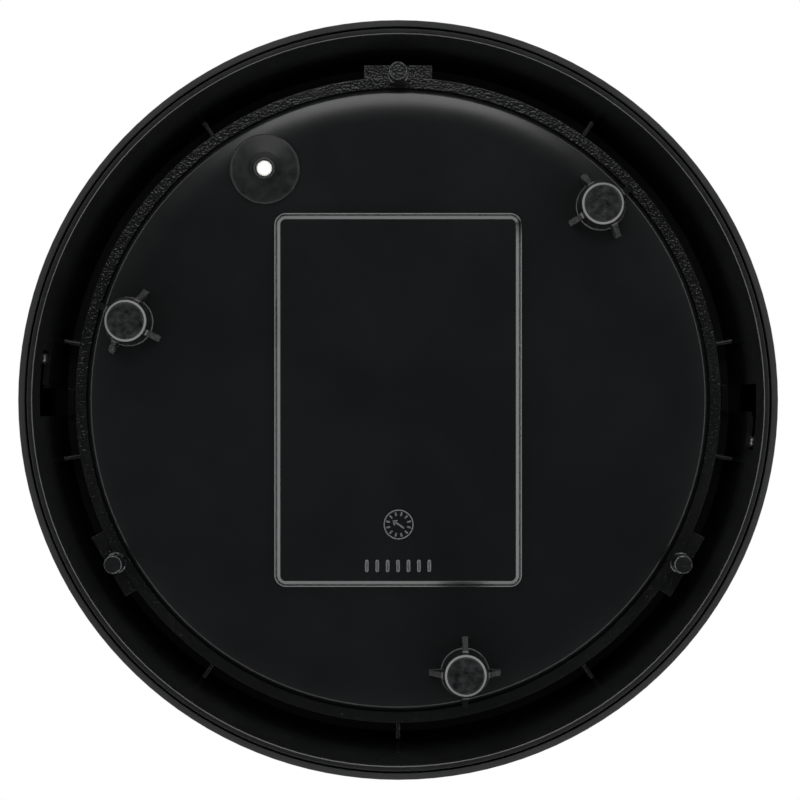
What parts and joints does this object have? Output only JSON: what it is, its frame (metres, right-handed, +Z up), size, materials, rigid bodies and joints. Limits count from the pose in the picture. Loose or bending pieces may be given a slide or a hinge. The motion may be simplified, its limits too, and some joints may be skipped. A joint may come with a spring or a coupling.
{
  "type": "digital bathroom scale",
  "caption": "Round drum-shaped digital bathroom scale: base pan on three feet, load cell, floating platform frame and a twist-lock cover.",
  "frame": {"origin": "on the floor under the centre of the round body, at the bottom centre of its box", "axes": "+Z up, +Y from the centre towards the display, +X to the right of a user who faces the display"},
  "size_m": [0.3, 0.3, 0.06],
  "materials": {
    "pan_plastic": "satin moulded black plastic, coarse spark texture on the ledge",
    "frame_plastic": "fine matt black moulded plastic",
    "cover_plastic": "satin black moulded plastic",
    "pad_rubber": "matt dark grey rubber",
    "grommet_rubber": "dull dark grey soft rubber",
    "button_plastic": "pale moulded plastic",
    "switch_plastic": "black engineering plastic",
    "board": "green solder mask",
    "screw_steel": "zinc plated steel",
    "cell_aluminium": "milled aluminium",
    "plate_steel": "galvanised steel sheet",
    "sealant": "white silicone sealant",
    "chip_resin": "glossy black potting resin",
    "holder_plastic": "pale grey moulded plastic",
    "display_cell": "reflective grey-green display glass",
    "light_guide": "clear diffusing acrylic",
    "connector_rubber": "pink layered elastomer",
    "battery_jacket": "printed film jacket, plain",
    "contact_metal": "nickel plated spring steel",
    "wire_insulation": "red PVC insulation",
    "plug_plastic": "ivory nylon",
    "window_acrylic": "smoked clear acrylic",
    "surround_plastic": "gloss black plastic",
    "tread_rubber": "ribbed black rubber"
  },
  "bodies": {
    "base": {"base_pan": "pan_plastic", "base_plate": "plate_steel", "foot_pad_1": "pad_rubber", "foot_pad_2": "pad_rubber", "foot_pad_3": "pad_rubber", "button_grommet": "grommet_rubber", "tact_switch": "switch_plastic", "button_board": "board", "button_board_screws": "screw_steel", "load_cell": "cell_aluminium", "gauge_sealant": "sealant", "lower_spacer": "plate_steel", "lower_cell_screws": "screw_steel"},
    "unit_button": {"unit_button": "button_plastic", "switch_plunger": "switch_plastic"},
    "platform": {"platform_frame": "frame_plastic", "upper_spacer": "plate_steel", "upper_cell_screws": "screw_steel", "main_board": "board", "main_board_screws": "screw_steel", "controller_chip": "chip_resin", "display_holder": "holder_plastic", "display_panel": "display_cell", "display_backlight": "light_guide", "display_connectors": "connector_rubber", "battery_holder": "switch_plastic", "battery_1": "battery_jacket", "battery_2": "battery_jacket", "battery_3": "battery_jacket", "battery_contacts": "contact_metal", "wire_harness": "wire_insulation", "harness_plug": "plug_plastic"},
    "cover": {"platform_cover": "cover_plastic", "display_window": "window_acrylic", "display_surround": "surround_plastic", "tread_mat": "tread_rubber"}
  },
  "joints": [
    {"name": "platform_travel", "type": "slide", "parent": "base", "child": "platform", "axis": [0, 0, 1], "range_m": [-0.0005, 0], "stiffness_N_per_m": 20000, "springref_m": 0.004, "deforming": ["load_cell"]},
    {"name": "cover_twist", "type": "hinge", "parent": "platform", "child": "cover", "pos_m": [0, 0, 0.018], "axis": [0, 0, 1], "range_deg": [-7, 0]},
    {"name": "unit_button_press", "type": "slide", "parent": "base", "child": "unit_button", "axis": [0, 0, 1], "range_m": [0, 0.0012], "stiffness_N_per_m": 800, "springref_m": -0.002}
  ]
}
